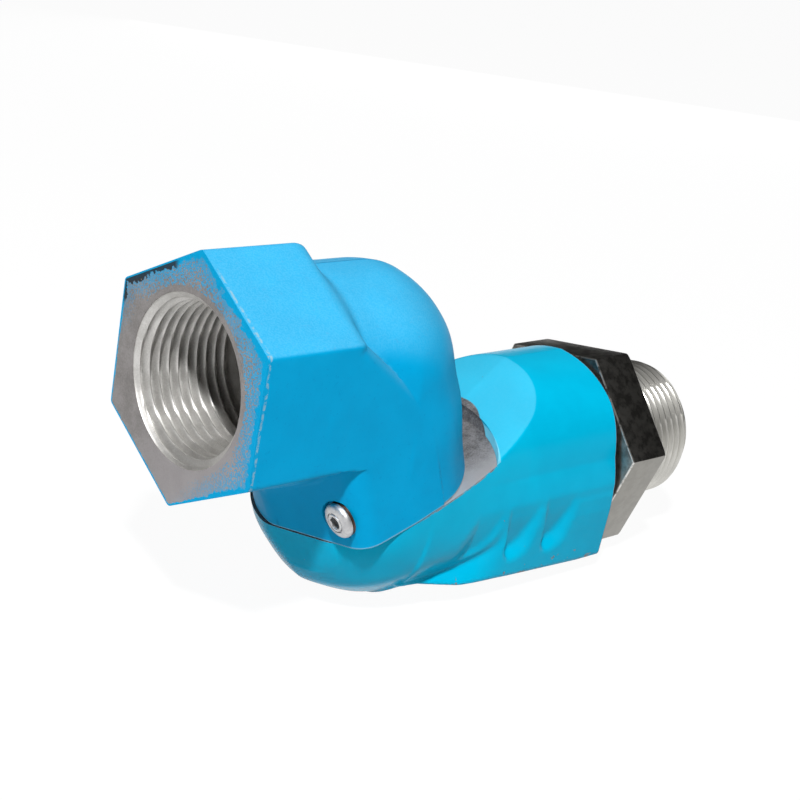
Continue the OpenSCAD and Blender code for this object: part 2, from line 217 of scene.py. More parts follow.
def box(name, low, high, matrix=np.eye(4)):
    c = np.array([[x, y, z] for x in (low[0], high[0]) for y in (low[1], high[1]) for z in (low[2], high[2])])
    faces = [(0, 1, 3, 2), (4, 6, 7, 5), (0, 4, 5, 1), (2, 3, 7, 6), (0, 2, 6, 4), (1, 5, 7, 3)]
    return new_object(name, put(c, matrix), faces)


def hexagon_points(corner_r, turn):
    return [(corner_r * math.cos(turn + k * math.pi / 3), corner_r * math.sin(turn + k * math.pi / 3))
            for k in range(6)]


def prism(name, outline, low, high, matrix):
    """A straight prism over an outline that turns anticlockwise in the local XY plane."""
    n = len(outline)
    verts = [(x, y, low) for x, y in outline] + [(x, y, high) for x, y in outline]
    faces = [tuple(range(n))[::-1], tuple(range(n, 2 * n))]
    faces += [(i, (i + 1) % n, n + (i + 1) % n, n + i) for i in range(n)]
    return new_object(name, put(verts, matrix), faces)


def ring_solid(name, section, matrix, segments=160):
    """A closed ring: section is an anticlockwise loop of (radius, height)."""
    m = len(section)
    verts = [(r * math.cos(t), r * math.sin(t), h) for t in circle(segments) for r, h in section]
    faces = []
    for k in range(segments):
        n = (k + 1) % segments
        for i in range(m):
            q = (i + 1) % m
            faces.append((k * m + i, n * m + i, n * m + q, k * m + q))
    return new_object(name, put(verts, matrix), faces)


def thread_height(phase, flat=0.12):
    """0 in the root and 1 on the crest of a 60 degree thread with small flats."""
    p = np.abs((phase % 1.0) - 0.5) * 2
    return np.clip((1 - p - flat) / (1 - 2 * flat), 0, 1)


def threaded_bar(name, matrix, start, stop, crest, depth, low_limit, high_limit, samples=12, segments=180):
    """A closed right-hand taper-threaded bar along the local Z. low_limit and high_limit are functions of
    the height that the radius stays between."""
    steps = max(4, int(round((stop - start) / PITCH * samples)))
    zz, tt = np.meshgrid(np.linspace(start, stop, steps + 1), circle(segments), indexing="ij")
    height = thread_height(zz / PITCH - tt / (2 * math.pi))
    radius = crest - THREAD_TAPER * (zz - start) - depth * (1 - height)
    radius = np.clip(radius, low_limit(zz), high_limit(zz))
    return stacked_rings(name, radius, zz, (start, stop), matrix)


# Fields: each is negative inside its shape, about in millimetres

def smin(a, b, k):
    h = np.maximum(k - np.abs(a - b), 0) / k
    return np.minimum(a, b) - h * h * k * 0.25


def smax(a, b, k):
    h = np.maximum(k - np.abs(a - b), 0) / k
    return np.maximum(a, b) + h * h * k * 0.25


def ramp(value, start, length):
    """0 before start and 1 from start + length on."""
    return np.clip((value - start) / length, 0, 1)


def grid_crossings(field, cells, corners):
    """The mean of the points where the surface crosses each cell's edges, as a share of the cell."""
    at = cells[:, None, :] + corners[None]
    values = field[at[..., 0], at[..., 1], at[..., 2]].astype(float)
    total, hits = np.zeros((len(cells), 3)), np.zeros(len(cells))
    for a in range(8):
        for b in range(a + 1, 8):
            if np.abs(corners[a] - corners[b]).sum() != 1:
                continue
            cross = (values[:, a] < 0) != (values[:, b] < 0)
            share = values[cross, a] / (values[cross, a] - values[cross, b])
            total[cross] += corners[a] + share[:, None] * (corners[b] - corners[a])
            hits[cross] += 1
    return total / hits[:, None]


def settle(points, shape, cell, rounds=3, h=0.02, reach=0.35):
    """Moves points onto the zero surface of shape by Newton steps, each no longer than reach cells."""
    for _ in range(rounds):
        value = shape(*points.T)
        slopes = []
        for axis in range(3):
            step = np.zeros(3)
            step[axis] = h
            slopes.append(shape(*(points + step).T) - shape(*(points - step).T))
        grad = np.stack(slopes, -1) / (2 * h)
        move = value[:, None] * grad / np.maximum((grad ** 2).sum(-1, keepdims=True), 0.2)
        length = np.linalg.norm(move, axis=1, keepdims=True)
        points = points - move * np.minimum(1, reach * cell / np.maximum(length, 1e-9))
    return points


def net_faces(inside, ident):
    """One face for each grid edge that crosses the surface, between the four cells round it."""
    faces = []
    for axis in range(3):
        u, v = (axis + 1) % 3, (axis + 2) % 3
        first, second = [slice(None)] * 3, [slice(None)] * 3
        first[axis], second[axis] = slice(0, -1), slice(1, None)
        for s in (first, second):
            s[u] = slice(1, -1)
            s[v] = slice(1, -1)
        lower, upper = inside[tuple(first)], inside[tuple(second)]
        for outward, found in ((True, lower & ~upper), (False, ~lower & upper)):
            e = np.argwhere(found)
            e[:, u] += 1
            e[:, v] += 1
            ring = []
            for du, dv in ((-1, -1), (0, -1), (0, 0), (-1, 0)):
                c = e.copy()
                c[:, u] += du
                c[:, v] += dv
                ring.append(ident[c[:, 0], c[:, 1], c[:, 2]])
            quad = np.stack(ring, -1)
            faces.append(quad if outward else quad[:, ::-1])
    return np.vstack(faces).tolist()


def surface_net(name, shape, low, high, cell):
    """Meshes the zero surface of shape(x, y, z)."""
    axes = [np.arange(a, b + cell, cell) for a, b in zip(low, high)]
    field = shape(*np.meshgrid(*axes, indexing="ij")).astype(np.float32)
    inside = field < 0
    n = [s - 1 for s in field.shape]
    corners = np.array([(i, j, k) for i in (0, 1) for j in (0, 1) for k in (0, 1)])
    count = sum(inside[i:i + n[0], j:j + n[1], k:k + n[2]].astype(np.uint8) for i, j, k in corners)
    active = (count > 0) & (count < 8)
    cells = np.argwhere(active)
    points = np.array(low) + (cells + grid_crossings(field, cells, corners)) * cell
    ident = np.full(active.shape, -1, np.int64)
    ident[active] = np.arange(len(cells))
    return new_object(name, settle(points, shape, cell), net_faces(inside, ident))


def joint_axes(x, z):
    """Across and along the inlet joint's axis, from the knee centre."""
    return x * CT + z * ST, z * CT - x * ST


def hexagon_distance(y, z, turn, flat, blend=0.6):
    """Largest distance from the flats of a hexagon with a corner turned from +Z towards -Y."""
    result = None
    for k in range(6):
        a = turn + math.radians(30 + 60 * k)
        d = -y * math.sin(a) + z * math.cos(a) - flat
        result = d if result is None else smax(result, d, blend)
    return result


def parting(y, depth):
    """The casting's halves fall away from the parting line in the plane y = 0."""
    return depth * (1 - np.exp(-np.abs(y) / 3.0))


def boss_face(d, y, reach):
    """The upright flat with the screw, turned a little from square across the joint's axis."""
    return -d * math.cos(BOSS_TURN) - y * math.sin(BOSS_TURN) - reach


# The elbow

def elbow_knuckle(y, d, j):
    """Round about the joint's axis, swollen at mid height, with a domed top that slopes off to the outlet."""
    base_r, swell, swell_h, swell_length = 23.0, 1.0, 18, 8
    dome_h, boss_blend = 28.1, 0.7
    slope_d, slope_j, slope_reach, slope_blend = 0.62, 0.785, 42.1, 6.0
    radius = base_r + swell * np.exp(-((np.minimum(j, dome_h) - swell_h) / swell_length) ** 2)
    over = np.maximum(j - dome_h, 0)
    knuckle = np.sqrt(d * d + y * y + over * over) - radius + parting(y, ELBOW_SEAM)
    knuckle = smax(knuckle, d * slope_d + j * slope_j - slope_reach, slope_blend)
    return smax(knuckle, boss_face(d, y, ELBOW_BOSS), boss_blend)


def elbow_neck(x, y, z):
    """A round bar from inside the hexagon to a ball over the knuckle."""
    neck_r, neck_h, ball_x, start_x = 21.95, 27.6, -8, -30
    along = np.maximum(x - ball_x, 0)
    neck = np.sqrt(y * y + (z - neck_h) ** 2 + along ** 2) - neck_r + parting(y, ELBOW_SEAM)
    return np.maximum(neck, start_x - x)


def elbow_cheek(x, y, z, d, j, outline):
    """The flat side wall from the hexagon's facet to the joint's face, with the screw's boss."""
    facet_x, facet_length, lean_loss = -4, 20, 0.0016
    far_bottom, near_bottom, start_x = 26.0, -10.0, -32
    slope_d, slope_j, slope_reach, slope_blend = 0.832, 0.556, 18.3, 4.0
    outline_x, outline_rate = -27.5, 3
    far_start, boss_top, boss_fade, boss_blend, end_d = -16, 14.0, 8, 4.2, 4
    share = ramp(-x, -facet_x, facet_length)
    lean = np.sign(y) * share * math.sin(HEX_TURN) * (z - AXIS_H)
    cheek = np.abs(y) * (1 - lean_loss * share) + lean
    cheek = cheek - SIDE - (HEX_FLAT - SIDE) * share
    cheek = smax(cheek, slope_d * d + slope_j * j - slope_reach, slope_blend)
    bottom = np.where(y > 0, far_bottom, near_bottom)
    cheek = np.maximum(np.maximum(cheek, bottom - j), start_x - x)
    # up to the hexagon's end the wall stays inside its outline
    high = ramp(z, 28, 10)
    past = np.maximum(x - outline_x - 2 * high, 0)
    cheek = np.maximum(cheek, outline - (outline_rate - 2 * high) * past)
    boss = np.where(y > 0, far_start - d, boss_face(d, y, ELBOW_BOSS))
    boss = boss - boss_fade * np.maximum(z - boss_top, 0)
    return np.maximum(smax(cheek, boss, boss_blend), d - end_d)


def elbow_shape(x, y, z):
    d, j = joint_axes(x, z)
    shoulder_blend, neck_blend, side_blend, hexagon_blend = 4.2, 1.4, 1.6, 2.4
    spare_x, spare_j = 1, 1.2
    outline = hexagon_distance(y, z - AXIS_H, HEX_TURN, HEX_FLAT)
    hexagon = np.maximum(smax(outline, x - HEX_END_X, shoulder_blend), INLET_X - spare_x - x)
    narrowing = 1.5 * ramp(-x, 8, 8)
    dome = smin(elbow_knuckle(y, d, j), elbow_neck(x, y, z), neck_blend)
    dome = smax(dome, np.abs(y) - SIDE + narrowing, side_blend)
    body = np.minimum(smin(hexagon, dome, hexagon_blend), elbow_cheek(x, y, z, d, j, outline))
    return np.maximum(body, JOINT_H + FACE_GAP - spare_j - j)


# The body

def body_knee(y, d, j):
    """Two cones and a ball below the joint's face, cut flat in line with the elbow's boss."""
    r, low = np.sqrt(d * d + y * y), np.minimum(j, 0)
    upper_r, upper_j, upper_reach = 0.956, 0.292, 23.3
    lower_r, lower_j, lower_reach = 0.695, 0.719, 23.15
    ball_r = 23.65
    edge, boss_edge, top = 0.6, 0.8, 4
    seam_y, seam_fall = -0.8, 0.4
    fade_below, fade = -7, 0.6
    upper_cone = r * upper_r - low * upper_j - upper_reach
    lower_cone = r * lower_r - low * lower_j - lower_reach
    knee = smax(smax(upper_cone, lower_cone, edge), np.sqrt(r * r + low * low) - ball_r, edge)
    knee = knee + parting(y - seam_y, seam_fall)
    flat = boss_face(d, y, KNEE_BOSS) - fade * np.maximum(fade_below - j, 0)
    return np.maximum(smax(knee, flat, boss_edge), j - top)


def body_skirt(x, z, side):
    """The flat-sided skirt under the tube, which narrows and leans in towards the knee."""
    knee_width, added_width, knee_bottom = 16.6, 5.5, 17.4
    knee_lean, lean_from = 0.7, -17.5
    flare, flare_from = 0.1, -8
    tuck, tuck_from = 0.4, -4.5
    start_x, start_blend, bottom_blend = -3, 4.0, 1.4
    upright = ramp(x, 12, 14.0)
    upright = upright * upright * (3 - 2 * upright)
    width = knee_width + added_width * np.sin(ramp(x, -6, 36.0) * math.pi / 2)
    lean = (1 - upright) * knee_lean * (z - lean_from)
    lower = flare * np.minimum(z - flare_from, 0)
    upper = tuck * np.maximum(z - tuck_from, 0)
    skirt = side - width + lean - lower + upper
    bottom = knee_bottom + 2.2 * ramp(x, 4, 48) + 0.9 * ramp(x, 4, 10)
    skirt = smax(skirt * 0.85, -bottom - z, bottom_blend)
    return np.maximum(smax(skirt, start_x - x, start_blend), z)


def body_pocket(index, x, z, side):
    """A pocket beside the skirt: a ramp rises to its right edge, and the last one runs out to the knee."""
    first_right, spacing, narrow, wide = 45.9, 11.8, 9.0, 34.0
    rise, floor_top, floor_slope = 2.2, -10.6, 1.35
    end_blend, floor_blend, back_blend = 0.8, 2.6, 0.5
    is_last = index == 2
    depth = SIDE - side
    right = first_right - spacing * index
    left = right - (wide if is_last else narrow)
    fade = np.maximum(15 - x, 0) if is_last else 0.0
    lean = 0.26 + (0.16 * ramp(-x, -19, 8) if is_last else 0.0)
    pocket = smax((x - right + rise * depth) * 0.414, left + 0.15 * depth - x, end_blend)
    floor_h = floor_top - floor_slope * (side - 18) - 0.25 * fade
    pocket = smax(pocket, (floor_h - z) * 0.6, floor_blend)
    return smax(pocket, SIDE + lean * (z + POCKET_TOP) - side + 0.4 * fade, back_blend)


def body_relief(y, d, side):
    """Height along the joint's axis of the hollow that lets the elbow turn."""
    edge_r, edge_h, side_drop, step_h = 30.3, 4.45, 0.1, 0.35
    middle_slope, side_loss = 0.268, 0.00046
    r = np.sqrt(d * d + y * y)
    slope = middle_slope - side_loss * y * y
    relief = edge_h - side_drop * side + (r - edge_r) * slope
    return np.maximum(relief, JOINT_H + step_h)


def body_shape(x, y, z):
    d, j = joint_axes(x, z)
    side = np.abs(y)
    tube_r, tube_seam, knee_blend, spare = 23.55, 0.3, 1.2, 1.0
    relief_d, relief_blend = 8, 0.5
    tube = np.maximum(np.sqrt(y * y + z * z) - tube_r + parting(y, tube_seam), -x)
    round_part = smin(body_knee(y, d, j), tube, knee_blend)
    # the flat sides run softly into the top over the outlet
    side_blend = 1.8 + 5.0 * ramp(x, 10, 20) * ramp(z, -2, 6)
    round_part = smax(round_part, side - SIDE, side_blend)
    skirt_blend = 0.9 - 0.5 * ramp(x, 15, 10)
    result = smin(round_part, body_skirt(x, z, side), skirt_blend)
    result = np.maximum(result, x - BODY_END - spare)
    for index in range(3):
        result = smax(result, -body_pocket(index, x, z, side), 0.5 + 0.4 * ramp(z, -9, 4))
    cut = smax(result, (j - body_relief(y, d, side)) * 0.96, relief_blend)
    return np.where(d < relief_d, result, cut)


# The cut and finished pieces

def race_profile():
    """The bore of a joint from its face inwards: dust seal, running bore and ball groove."""
    start = math.asin((BORE_R - RACE_R) / GROOVE_R)
    groove = []
    for i in range(13):
        a = math.pi / 2 - start - (math.pi - 2 * start) * i / 12
        groove.append((RACE_R + GROOVE_R * math.cos(a), RACE_H - GROOVE_R * math.sin(a)))
    mouth = [(0, -3), (SEAL_R, -3), (SEAL_R, SEAL_END), (BORE_R, SEAL_END)]
    return mouth + groove + [(BORE_R, BORE_END), (0, BORE_END)]


def cut_plug_hole(obj, face, mirror):
    past_boss = 24
    profile = [(0, 0), (LOADING_R, 0), (LOADING_R, LOADING_END), (SCREW_HOLE_R, LOADING_END)]
    profile += [(SCREW_HOLE_R, WASHER_SEAT), (HEAD_ROOM_R, WASHER_SEAT), (HEAD_ROOM_R, past_boss)]
    profile += [(0, past_boss)]
    boolean(obj, lathe("t", profile, plug_frame(face, mirror), 64))


def cut_inlet_thread(obj):
    """The taper thread of the inlet, with a chamfered mouth."""
    crest, depth, mouth_r, root_limit, stop = 16.75, 1.55, 16.9, 18.0, 22.0
    mouth_h, mouth_slope = 0.2, 1.1

    def low_limit(h):
        chamfer = mouth_r - np.maximum(h - mouth_h, 0) * mouth_slope
        return np.minimum(np.maximum(chamfer, 0), root_limit)

    def high_limit(h):
        return np.where(h < mouth_h, mouth_r, root_limit)

    boolean(obj, threaded_bar("t", AT_INLET_AXIS, -1.0, stop, crest, depth, low_limit, high_limit))


def make_elbow():
    grid_low, grid_high = (INLET_X - 2, -27, -9), (25.5, 27, 56.5)
    obj = surface_net("elbow_casting", elbow_shape, grid_low, grid_high, CELL)
    boolean(obj, box("t", (INLET_X - OUTSIDE, -OUTSIDE, -OUTSIDE), (INLET_X, OUTSIDE, OUTSIDE)))
    lower_face = JOINT_H + FACE_GAP - GAP_SEEN
    boolean(obj, box("t", (-OUTSIDE, -OUTSIDE, -OUTSIDE), (OUTSIDE, OUTSIDE, lower_face), AT_JOINT))
    boolean(obj, lathe("t", race_profile(), AT_INLET_FACE))
    # the upright flow bore ends in a ball where it meets the inlet's
    crossing = AXIS_H / CT
    bore_from, passage_from = 8, 15
    ball = arc(FLOW_R, crossing, 0, math.pi / 2, 14)[:-1]
    upright = [(0, bore_from), (FLOW_R, bore_from)] + ball + [(0, crossing + FLOW_R)]
    boolean(obj, lathe("t", upright, AT_JOINT, 96))
    passage_to = -INLET_X - AXIS_H * ST / CT
    passage = [(0, passage_from), (FLOW_R, passage_from), (FLOW_R, passage_to), (0, passage_to)]
    boolean(obj, lathe("t", passage, AT_INLET_AXIS, 96))
    cut_inlet_thread(obj)
    cut_plug_hole(obj, AT_INLET_FACE, 1.0)
    smooth(obj, 32)
    return obj


def make_body():
    grid_low, grid_high = (-26, -26, -26), (BODY_END + 2.5, 26, 26)
    obj = surface_net("body_casting", body_shape, grid_low, grid_high, CELL)
    boolean(obj, box("t", (BODY_END, -OUTSIDE, -OUTSIDE), (BODY_END + OUTSIDE, OUTSIDE, OUTSIDE)))
    # the spot-face with a rounded foot to its wall, open towards the inlet
    wall_r = 30.3
    foot = [(SPOT_R, JOINT_H), (29.45, 1.8), (30.15, 2.9), (wall_r, 3.4)]
    spot_face = [(0, JOINT_H)] + foot + [(wall_r, OUTSIDE), (0, OUTSIDE)]
    boolean(obj, lathe("t", spot_face, AT_JOINT, 256))
    boolean(obj, box("t", (-OUTSIDE, -OUTSIDE, JOINT_H), (0.5, OUTSIDE, OUTSIDE), AT_JOINT))
    # the stem's flange recess and threaded hole
    flange_r, flange_h, stem_r, stem_h = 18.02, -1.62, 14.52, -6.52
    recess = [(0, stem_h), (stem_r, stem_h), (stem_r, flange_h), (flange_r, flange_h), (flange_r, 5), (0, 5)]
    boolean(obj, lathe("t", recess, AT_INLET_FACE))
    # the flow path: a ball under the stem and a bore down to the outlet
    ball_r, ball_h = 12.5, -6.5
    ball = arc(ball_r, ball_h, -math.pi / 2, math.pi / 2, 25)[1:-1]
    boolean(obj, lathe("t", [(0, ball_h - ball_r)] + ball + [(0, ball_h + ball_r)], AT_JOINT, 96))
    bore_r = 9.5
    start, stop = np.array([4, 0, -10.0]), np.array([BODY_END - BORE_END + 1, 0, -1.5])
    length = float(np.linalg.norm(stop - start))
    run = (stop - start) / np.linalg.norm(stop - start)
    at = frame_matrix(start, np.cross([0, 1, 0], run), [0, 1, 0], run)
    ball = arc(bore_r, 0, -math.pi / 2, 0, 12)[1:]
    boolean(obj, lathe("t", [(0, -bore_r)] + ball + [(bore_r, length), (0, length)], at, 96))
    boolean(obj, lathe("t", race_profile(), AT_OUTLET_FACE))
    cut_plug_hole(obj, AT_OUTLET_FACE, -1.0)
    smooth(obj, 32)
    return obj


def adapter_hexagon(end):
    """The spanner hexagon with rounded edges and a turned chamfer at its outer end."""
    edge, chamfer, chamfer_h = 0.35, 1.1, 1.2
    obj = prism("adapter", hexagon_points(ADAPTER_R, ADAPTER_TURN), ADAPTER_X, end, AT_OUTLET_AXIS)
    bevel = obj.modifiers.new("b", "BEVEL")
    bevel.width = edge * MM
    bevel.segments = 2
    bevel.limit_method = "ANGLE"
    apply_modifiers(obj)
    wide, narrow = ADAPTER_R + 1, ADAPTER_R - chamfer
    cone = [(0, ADAPTER_X - 3), (wide, ADAPTER_X - 3), (wide, end - chamfer_h), (narrow, end)]
    cone += [(narrow, end + 1), (0, end + 1)]
    boolean(obj, lathe("t", cone, AT_OUTLET_AXIS, 256), "INTERSECT")
    return obj


def adapter_thread(start, end):
    """The male taper thread with a chamfered end."""
    crest, depth, low, high = 17.15, 1.5, 12.8, 17.2
    end_r, end_slope = 16.2, 1.4

    def low_limit(h):
        return low + 0 * h

    def high_limit(h):
        chamfer = end_r - (h - (end - 1.0)) * end_slope
        return np.where(h > end - 1.4, np.minimum(high, chamfer + 0.2), high)

    return threaded_bar("t", AT_OUTLET_AXIS, start - 0.6, end, crest, depth, low_limit, high_limit)


def make_adapter():
    hex_end = ADAPTER_X + ADAPTER_HEX
    end = hex_end + ADAPTER_THREAD
    spigot_r, spigot_x, outside_r = 16.38, BODY_END - 17.2, 18
    bore_r, bore_mouth_r = 12.5, 13.6
    obj = adapter_hexagon(hex_end)
    boolean(obj, adapter_thread(hex_end, end), "UNION")
    spigot = [(0, spigot_x), (spigot_r, spigot_x), (spigot_r, ADAPTER_X + 1), (0, ADAPTER_X + 1)]
    boolean(obj, lathe("t", spigot, AT_OUTLET_AXIS), "UNION")
    # grooves for the guide ring and the main seal, each near to far inside the body's end
    for near, far, floor_r in ((9.28, 11.28, 15.38), (12.08, 15.48, 14.22)):
        low, high = BODY_END - far, BODY_END - near
        section = [(floor_r, low), (outside_r, low), (outside_r, high), (floor_r, high)]
        boolean(obj, ring_solid("t", section, AT_OUTLET_AXIS))
    groove = [(RACE_R + GROOVE_R * math.cos(a), BODY_END - RACE_H + GROOVE_R * math.sin(a))
              for a in np.linspace(0, 2 * math.pi, 25)[:-1]]
    boolean(obj, ring_solid("t", groove, AT_OUTLET_AXIS))
    bore = [(0, 0), (bore_r, 0), (bore_r, end - 1.0), (bore_mouth_r, end + 0.1), (bore_mouth_r, end + 3)]
    boolean(obj, lathe("t", bore + [(0, end + 3)], AT_OUTLET_AXIS, 128))
    smooth(obj, 28)
    return obj


# Radius and height above the seat: the shank, the button head and the ring round its socket
SCREW_SHANK = [(0, -6), (1.55, -6), (1.95, -5.6), (1.95, 0)]
SCREW_HEAD = [(3.62, 0), (3.78, 0.18), (3.80, 0.55), (3.70, 0.85), (3.50, 1.15), (3.15, 1.38), (2.7, 1.55)]
SCREW_RING = [(2.3, 1.66), (2.22, 1.62), (2.14, 1.3), (2.02, 1.3), (1.94, 1.62), (1.85, 1.72), (1.72, 1.75),
              (0, 1.75)]


def make_plug(name, node, body, face, mirror):
    """A button-head screw with a hexagon socket: the plug that closes a ball race's loading hole."""
    at = plug_frame(face, mirror)
    outline = [(r, HEAD_SEAT + h) for r, h in SCREW_SHANK + SCREW_HEAD + SCREW_RING]
    obj = lathe(name, outline, at, 72)
    socket_depth, socket_turn = 0.9, 0.4
    socket = hexagon_points(SOCKET_FLAT / math.cos(math.pi / 6), socket_turn)
    boolean(obj, prism("t", socket, HEAD_SEAT - socket_depth, HEAD_SEAT + 4, at))
    lead_in = [(0, 1.5), (SOCKET_FLAT, 1.5), (1.7, 2.0), (0, 2.0)]
    boolean(obj, lathe("t", [(r, HEAD_SEAT + h) for r, h in lead_in], at, 48))
    smooth(obj, 35)
    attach(obj, body)
    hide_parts(node)
    return obj


elbow = make_elbow()
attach(elbow, "inlet_elbow")
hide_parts("inlet_elbow")
casting = make_body()
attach(casting, "swivel_body")
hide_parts("swivel_body")
adapter = make_adapter()
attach(adapter, "outlet_adapter")
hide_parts("outlet_adapter")
plugs = [make_plug("inlet_plug", "inlet_ball_plug", "inlet_elbow", AT_INLET_FACE, 1.0),
         make_plug("outlet_plug", "outlet_ball_plug", "swivel_body", AT_OUTLET_FACE, -1.0)]


# Materials: masks come from the object's coordinates, in metres

class Nodes:
    """Short calls for building a material's node tree."""

    def __init__(self, name):
        self.material = bpy.data.materials.new(name)
        self.material.use_nodes = True
        self.tree = self.material.node_tree
        self.shader = self.tree.nodes["Principled BSDF"]
        coordinates = self.tree.nodes.new("ShaderNodeTexCoord")
        self.where = coordinates.outputs["Object"]
        self.x, self.y, self.z = self.split(self.where)
        self.normal_x, _, self.normal_z = self.split(coordinates.outputs["Normal"])

    def split(self, vector):
        n = self.tree.nodes.new("ShaderNodeSeparateXYZ")
        self.tree.links.new(vector, n.inputs[0])
        return n.outputs

    def link(self, value, socket):
        if isinstance(value, (int, float, tuple, list)):
            socket.default_value = value
        else:
            self.tree.links.new(value, socket)

    def math(self, operation, a, b=0.0):
        n = self.tree.nodes.new("ShaderNodeMath")
        n.operation = operation
        self.link(a, n.inputs[0])
        self.link(b, n.inputs[1])
        return n.outputs[0]

    def fold(self, operation, values):
        total = values[0]
        for v in values[1:]:
            total = self.math(operation, total, v)
        return total

    def add(self, *values):
        return self.fold("ADD", values)

    def mul(self, *values):
        return self.fold("MULTIPLY", values)

    def largest(self, *values):
        return self.fold("MAXIMUM", values)

    def sub(self, a, b):
        return self.math("SUBTRACT", a, b)

    def size(self, a):
        return self.math("ABSOLUTE", a)

    def length(self, *values):
        """Distance from the origin over the given coordinates."""
        return self.math("SQRT", self.add(*[self.mul(v, v) for v in values]))

    def hexagon_reach(self, y, z, turn):
        """Distance from the middle of a hexagon along the nearest flat's normal."""
        sides = []
        for k in range(6):
            a = turn + math.radians(30 + 60 * k)
            sides.append(self.add(self.mul(y, -math.sin(a)), self.mul(z, math.cos(a))))
        return self.largest(*sides)

    def step(self, value, start, stop):
        """Smooth 0 to 1 as value goes from start to stop."""
        n = self.tree.nodes.new("ShaderNodeMapRange")
        n.interpolation_type = "SMOOTHSTEP"
        self.link(value, n.inputs["Value"])
        falling = start > stop
        n.inputs["From Min"].default_value = stop if falling else start
        n.inputs["From Max"].default_value = start if falling else stop
        n.inputs["To Min"].default_value = 1.0 if falling else 0.0
        n.inputs["To Max"].default_value = 0.0 if falling else 1.0
        return n.outputs["Result"]

    def noise(self, scale, detail=2.0, rough=0.5):
        n = self.tree.nodes.new("ShaderNodeTexNoise")
        n.inputs["Scale"].default_value = scale
        n.inputs["Detail"].default_value = detail
        n.inputs["Roughness"].default_value = rough
        self.tree.links.new(self.where, n.inputs["Vector"])
        return n.outputs["Fac"]

    def mix(self, share, a, b):
        """From colour a to colour b."""
        n = self.tree.nodes.new("ShaderNodeMix")
        n.data_type = "RGBA"
        self.link(share, n.inputs[0])
        self.link((*a, 1.0) if isinstance(a, tuple) else a, n.inputs[6])
        self.link((*b, 1.0) if isinstance(b, tuple) else b, n.inputs[7])
        return n.outputs[2]

    def blend(self, share, a, b):
        """From number a to number b."""
        n = self.tree.nodes.new("ShaderNodeMix")
        n.data_type = "FLOAT"
        self.link(share, n.inputs[0])
        self.link(a, n.inputs[2])
        self.link(b, n.inputs[3])
        return n.outputs[0]

    def bump(self, height, distance, strength):
        n = self.tree.nodes.new("ShaderNodeBump")
        n.inputs["Strength"].default_value = strength
        n.inputs["Distance"].default_value = distance
        self.link(height, n.inputs["Height"])
        return n.outputs[0]

    def set(self, **values):
        for key, value in values.items():
            self.link(value, self.shader.inputs[key.replace("_", " ")])
        return self.material


def srgb(r, g, b):
    """Linear values of a colour given from 0 to 255."""
    def one(v):
        v /= 255.0
        return v / 12.92 if v <= 0.04045 else ((v + 0.055) / 1.055) ** 2.4
    return (one(r), one(g), one(b))


def joint_coordinates(n):
    """X from the knee centre, and the place across and along the inlet joint's axis."""
    x = n.add(n.x, -KNEE[0] * MM)
    d = n.add(n.mul(x, CT), n.mul(n.z, ST))
    j = n.sub(n.mul(n.z, CT), n.mul(x, ST))
    return x, d, j


def bare_aluminium(n, light, dark):
    cloud = n.noise(240, 4, 0.6)
    grain = n.noise(2600, 3, 0.7)
    return n.mix(n.step(n.add(n.mul(cloud, 0.55), n.mul(grain, 0.45)), 0.36, 0.64), dark, light)


def blue_coat(n, x, j):
    """Blotchy paint with dark specks, a painted sheen on what faces up, the seam and a painted highlight
    along the lower rim.
    """
    blotch = n.noise(90, 3, 0.55)
    paint = n.mix(n.step(blotch, 0.3, 0.7), (0.0, 0.28, 0.53), (0.0, 0.305, 0.57))
    specks = n.step(n.noise(1300, 2, 0.7), 0.62, 0.72)
    paint = n.mix(n.mul(specks, 0.28), paint, (0.0, 0.16, 0.40))
    # painted sheen: surfaces that face up are tinted pale, standing in for the light they catch
    up = n.step(n.normal_z, 0.15, 0.75)
    sheen_grain = n.step(n.noise(2600, 2, 0.7), 0.38, 0.62)
    paint = n.mix(n.mul(up, n.add(0.10, n.mul(sheen_grain, 0.07))), paint, (0.30, 0.66, 0.80))
    seam = n.mul(n.step(n.size(n.y), 0.00045, 0.0001), n.step(x, -0.0225, -0.0215))
    paint = n.mix(n.mul(seam, 0.45), paint, (0.0, 0.10, 0.26))
    # painted highlight: a lighter strip along the lower rim, where its small rounded edge would catch the
    # light
    face_h = (JOINT_H + FACE_GAP) * MM
    rim = n.mul(n.step(j, face_h + 0.00012, face_h - 0.00002), 0.8)
    return n.mix(rim, paint, (0.16, 0.40, 0.56))


def inlet_overspray(n, up, inward):
    """Where the paint laps over the inlet face: a solid ragged fringe, then sprayed dots."""
    right = n.step(n.y, 0.004, -0.022)
    upper = n.step(up, 0.000, 0.022)
    fringe = n.add(0.00045, n.mul(right, 0.0010), n.mul(upper, 0.0010))
    ragged = n.noise(700, 5, 0.65)
    spray = n.noise(2400, 1, 0.5)
    cover = n.math("DIVIDE", inward, fringe)
    solid = n.step(n.add(cover, n.mul(n.sub(ragged, 0.5), 2.4)), 0.95, 0.75)
    thin_cover = n.math("DIVIDE", inward, n.mul(fringe, 4.6))
    dots = n.step(n.add(thin_cover, n.mul(n.sub(spray, 0.5), 3.6)), 0.70, 0.56)
    dots = n.mul(dots, n.largest(right, upper))
    return n.largest(solid, n.mul(dots, 0.8))


def blue_bare_places(n, x, d, j, up):
    """The elbow's thread, flow passages, lower face and race."""
    back = n.sub(x, INLET_X * MM)
    from_axis = n.length(n.y, up)
    from_joint = n.length(n.y, d)
    thread = n.mul(n.step(from_axis, 0.0181, 0.0180), n.step(back, 0.024, 0.0235))
    passage = n.mul(n.step(from_axis, 0.0119, 0.0117), n.step(x, 0.006, 0.005))
    chamber = n.mul(n.step(from_joint, 0.0119, 0.0117), n.step(j, 0.0435, 0.043))
    face_h = (JOINT_H + FACE_GAP) * MM
    under = n.step(j, face_h - 0.00017, face_h - 0.00019)
    race = n.mul(n.step(from_joint, 0.01875, 0.0187), n.step(j, 0.0215, 0.021))
    return n.largest(thread, passage, chamber, under, race)


